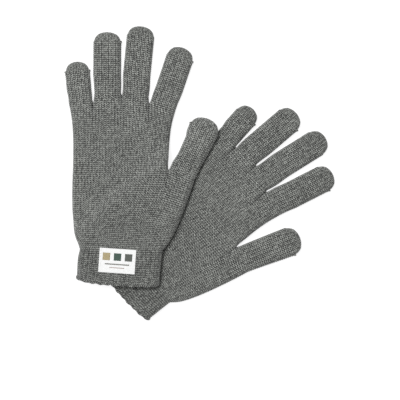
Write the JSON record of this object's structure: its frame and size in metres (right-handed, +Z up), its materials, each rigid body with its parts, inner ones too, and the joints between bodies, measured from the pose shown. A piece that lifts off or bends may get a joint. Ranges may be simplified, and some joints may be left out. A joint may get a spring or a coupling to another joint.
{
  "type": "knitted gloves",
  "caption": "Machine-knitted gloves lying crossed, one palm up under the other; ribbed cuffs, separate finger tubes that fold up, woven label on one cuff.",
  "frame": {"origin": "centre of the plan bounding box of both gloves, on the surface they lie on", "axes": "+Z up from the surface, +Y along the left glove from its cuff to its fingertips, +X towards the left glove's thumb side, where the right glove's fingers point"},
  "size_m": [0.2539, 0.2792, 0.0193],
  "materials": {
    "left_knit": "heathered grey knit",
    "right_knit": "heathered grey knit",
    "elastic_thread": "matt",
    "label_weave": "woven satin",
    "motif_thread": "woven satin",
    "sewing_thread": "matt thread"
  },
  "bodies": {
    "right_glove": {"right_cuff": "right_knit", "right_cuff_hem": "right_knit", "right_cuff_elastic": "elastic_thread", "right_lower_palm": "right_knit", "right_upper_palm": "right_knit"},
    "left_glove": {"left_cuff": "left_knit", "left_cuff_hem": "left_knit", "left_cuff_elastic": "elastic_thread", "left_lower_palm": "left_knit", "left_upper_palm": "left_knit", "left_label": "label_weave", "left_label_motif": "motif_thread", "left_label_stitches": "sewing_thread"},
    "left_little_finger_tube": {"left_little_finger": "left_knit"},
    "left_ring_finger_tube": {"left_ring_finger": "left_knit"},
    "left_middle_finger_tube": {"left_middle_finger": "left_knit"},
    "left_index_finger_tube": {"left_index_finger": "left_knit"},
    "left_thumb_tube": {"left_thumb": "left_knit"},
    "right_little_finger_tube": {"right_little_finger": "right_knit"},
    "right_ring_finger_tube": {"right_ring_finger": "right_knit"},
    "right_middle_finger_tube": {"right_middle_finger": "right_knit"},
    "right_index_finger_tube": {"right_index_finger": "right_knit"},
    "right_thumb_tube": {"right_thumb": "right_knit"}
  },
  "joints": [
    {"name": "left_glove_lift", "type": "slide", "parent": "right_glove", "child": "left_glove", "axis": [0, 0, 1], "range_m": [0, 0.1]},
    {"name": "left_little_finger_fold", "type": "hinge", "parent": "left_glove", "child": "left_little_finger_tube", "pos_m": [-0.11341, 0.07156, 0.008], "axis": [0.9962, 0.0872, 0], "range_deg": [0, 90]},
    {"name": "left_ring_finger_fold", "type": "hinge", "parent": "left_glove", "child": "left_ring_finger_tube", "pos_m": [-0.08747, 0.07949, 0.008], "axis": [1, -0.0052, 0], "range_deg": [0, 90]},
    {"name": "left_middle_finger_fold", "type": "hinge", "parent": "left_glove", "child": "left_middle_finger_tube", "pos_m": [-0.06082, 0.07812, 0.008], "axis": [0.9952, -0.0976, 0], "range_deg": [0, 90]},
    {"name": "left_index_finger_fold", "type": "hinge", "parent": "left_glove", "child": "left_index_finger_tube", "pos_m": [-0.034, 0.0673, 0.008], "axis": [0.9472, -0.3206, 0], "range_deg": [0, 90]},
    {"name": "left_thumb_fold", "type": "hinge", "parent": "left_glove", "child": "left_thumb_tube", "pos_m": [-0.01539, 0.00224, 0.0174], "axis": [0.9063, -0.4226, 0], "range_deg": [0, 90]},
    {"name": "right_little_finger_fold", "type": "hinge", "parent": "right_glove", "child": "right_little_finger_tube", "pos_m": [0.02892, 0.03566, 0.008], "axis": [0.749, -0.6626, 0], "range_deg": [0, 90]},
    {"name": "right_ring_finger_fold", "type": "hinge", "parent": "right_glove", "child": "right_ring_finger_tube", "pos_m": [0.04876, 0.02021, 0.008], "axis": [0.6494, -0.7604, 0], "range_deg": [0, 90]},
    {"name": "right_middle_finger_fold", "type": "hinge", "parent": "right_glove", "child": "right_middle_finger_tube", "pos_m": [0.06469, -0.00152, 0.008], "axis": [0.5299, -0.848, 0], "range_deg": [0, 90]},
    {"name": "right_index_finger_fold", "type": "hinge", "parent": "right_glove", "child": "right_index_finger_tube", "pos_m": [0.07333, -0.02705, 0.008], "axis": [0.454, -0.891, 0], "range_deg": [0, 90]},
    {"name": "right_thumb_fold", "type": "hinge", "parent": "right_glove", "child": "right_thumb_tube", "pos_m": [0.04455, -0.08042, 0.008], "axis": [0.3502, -0.9367, 0], "range_deg": [0, 90]}
  ]
}
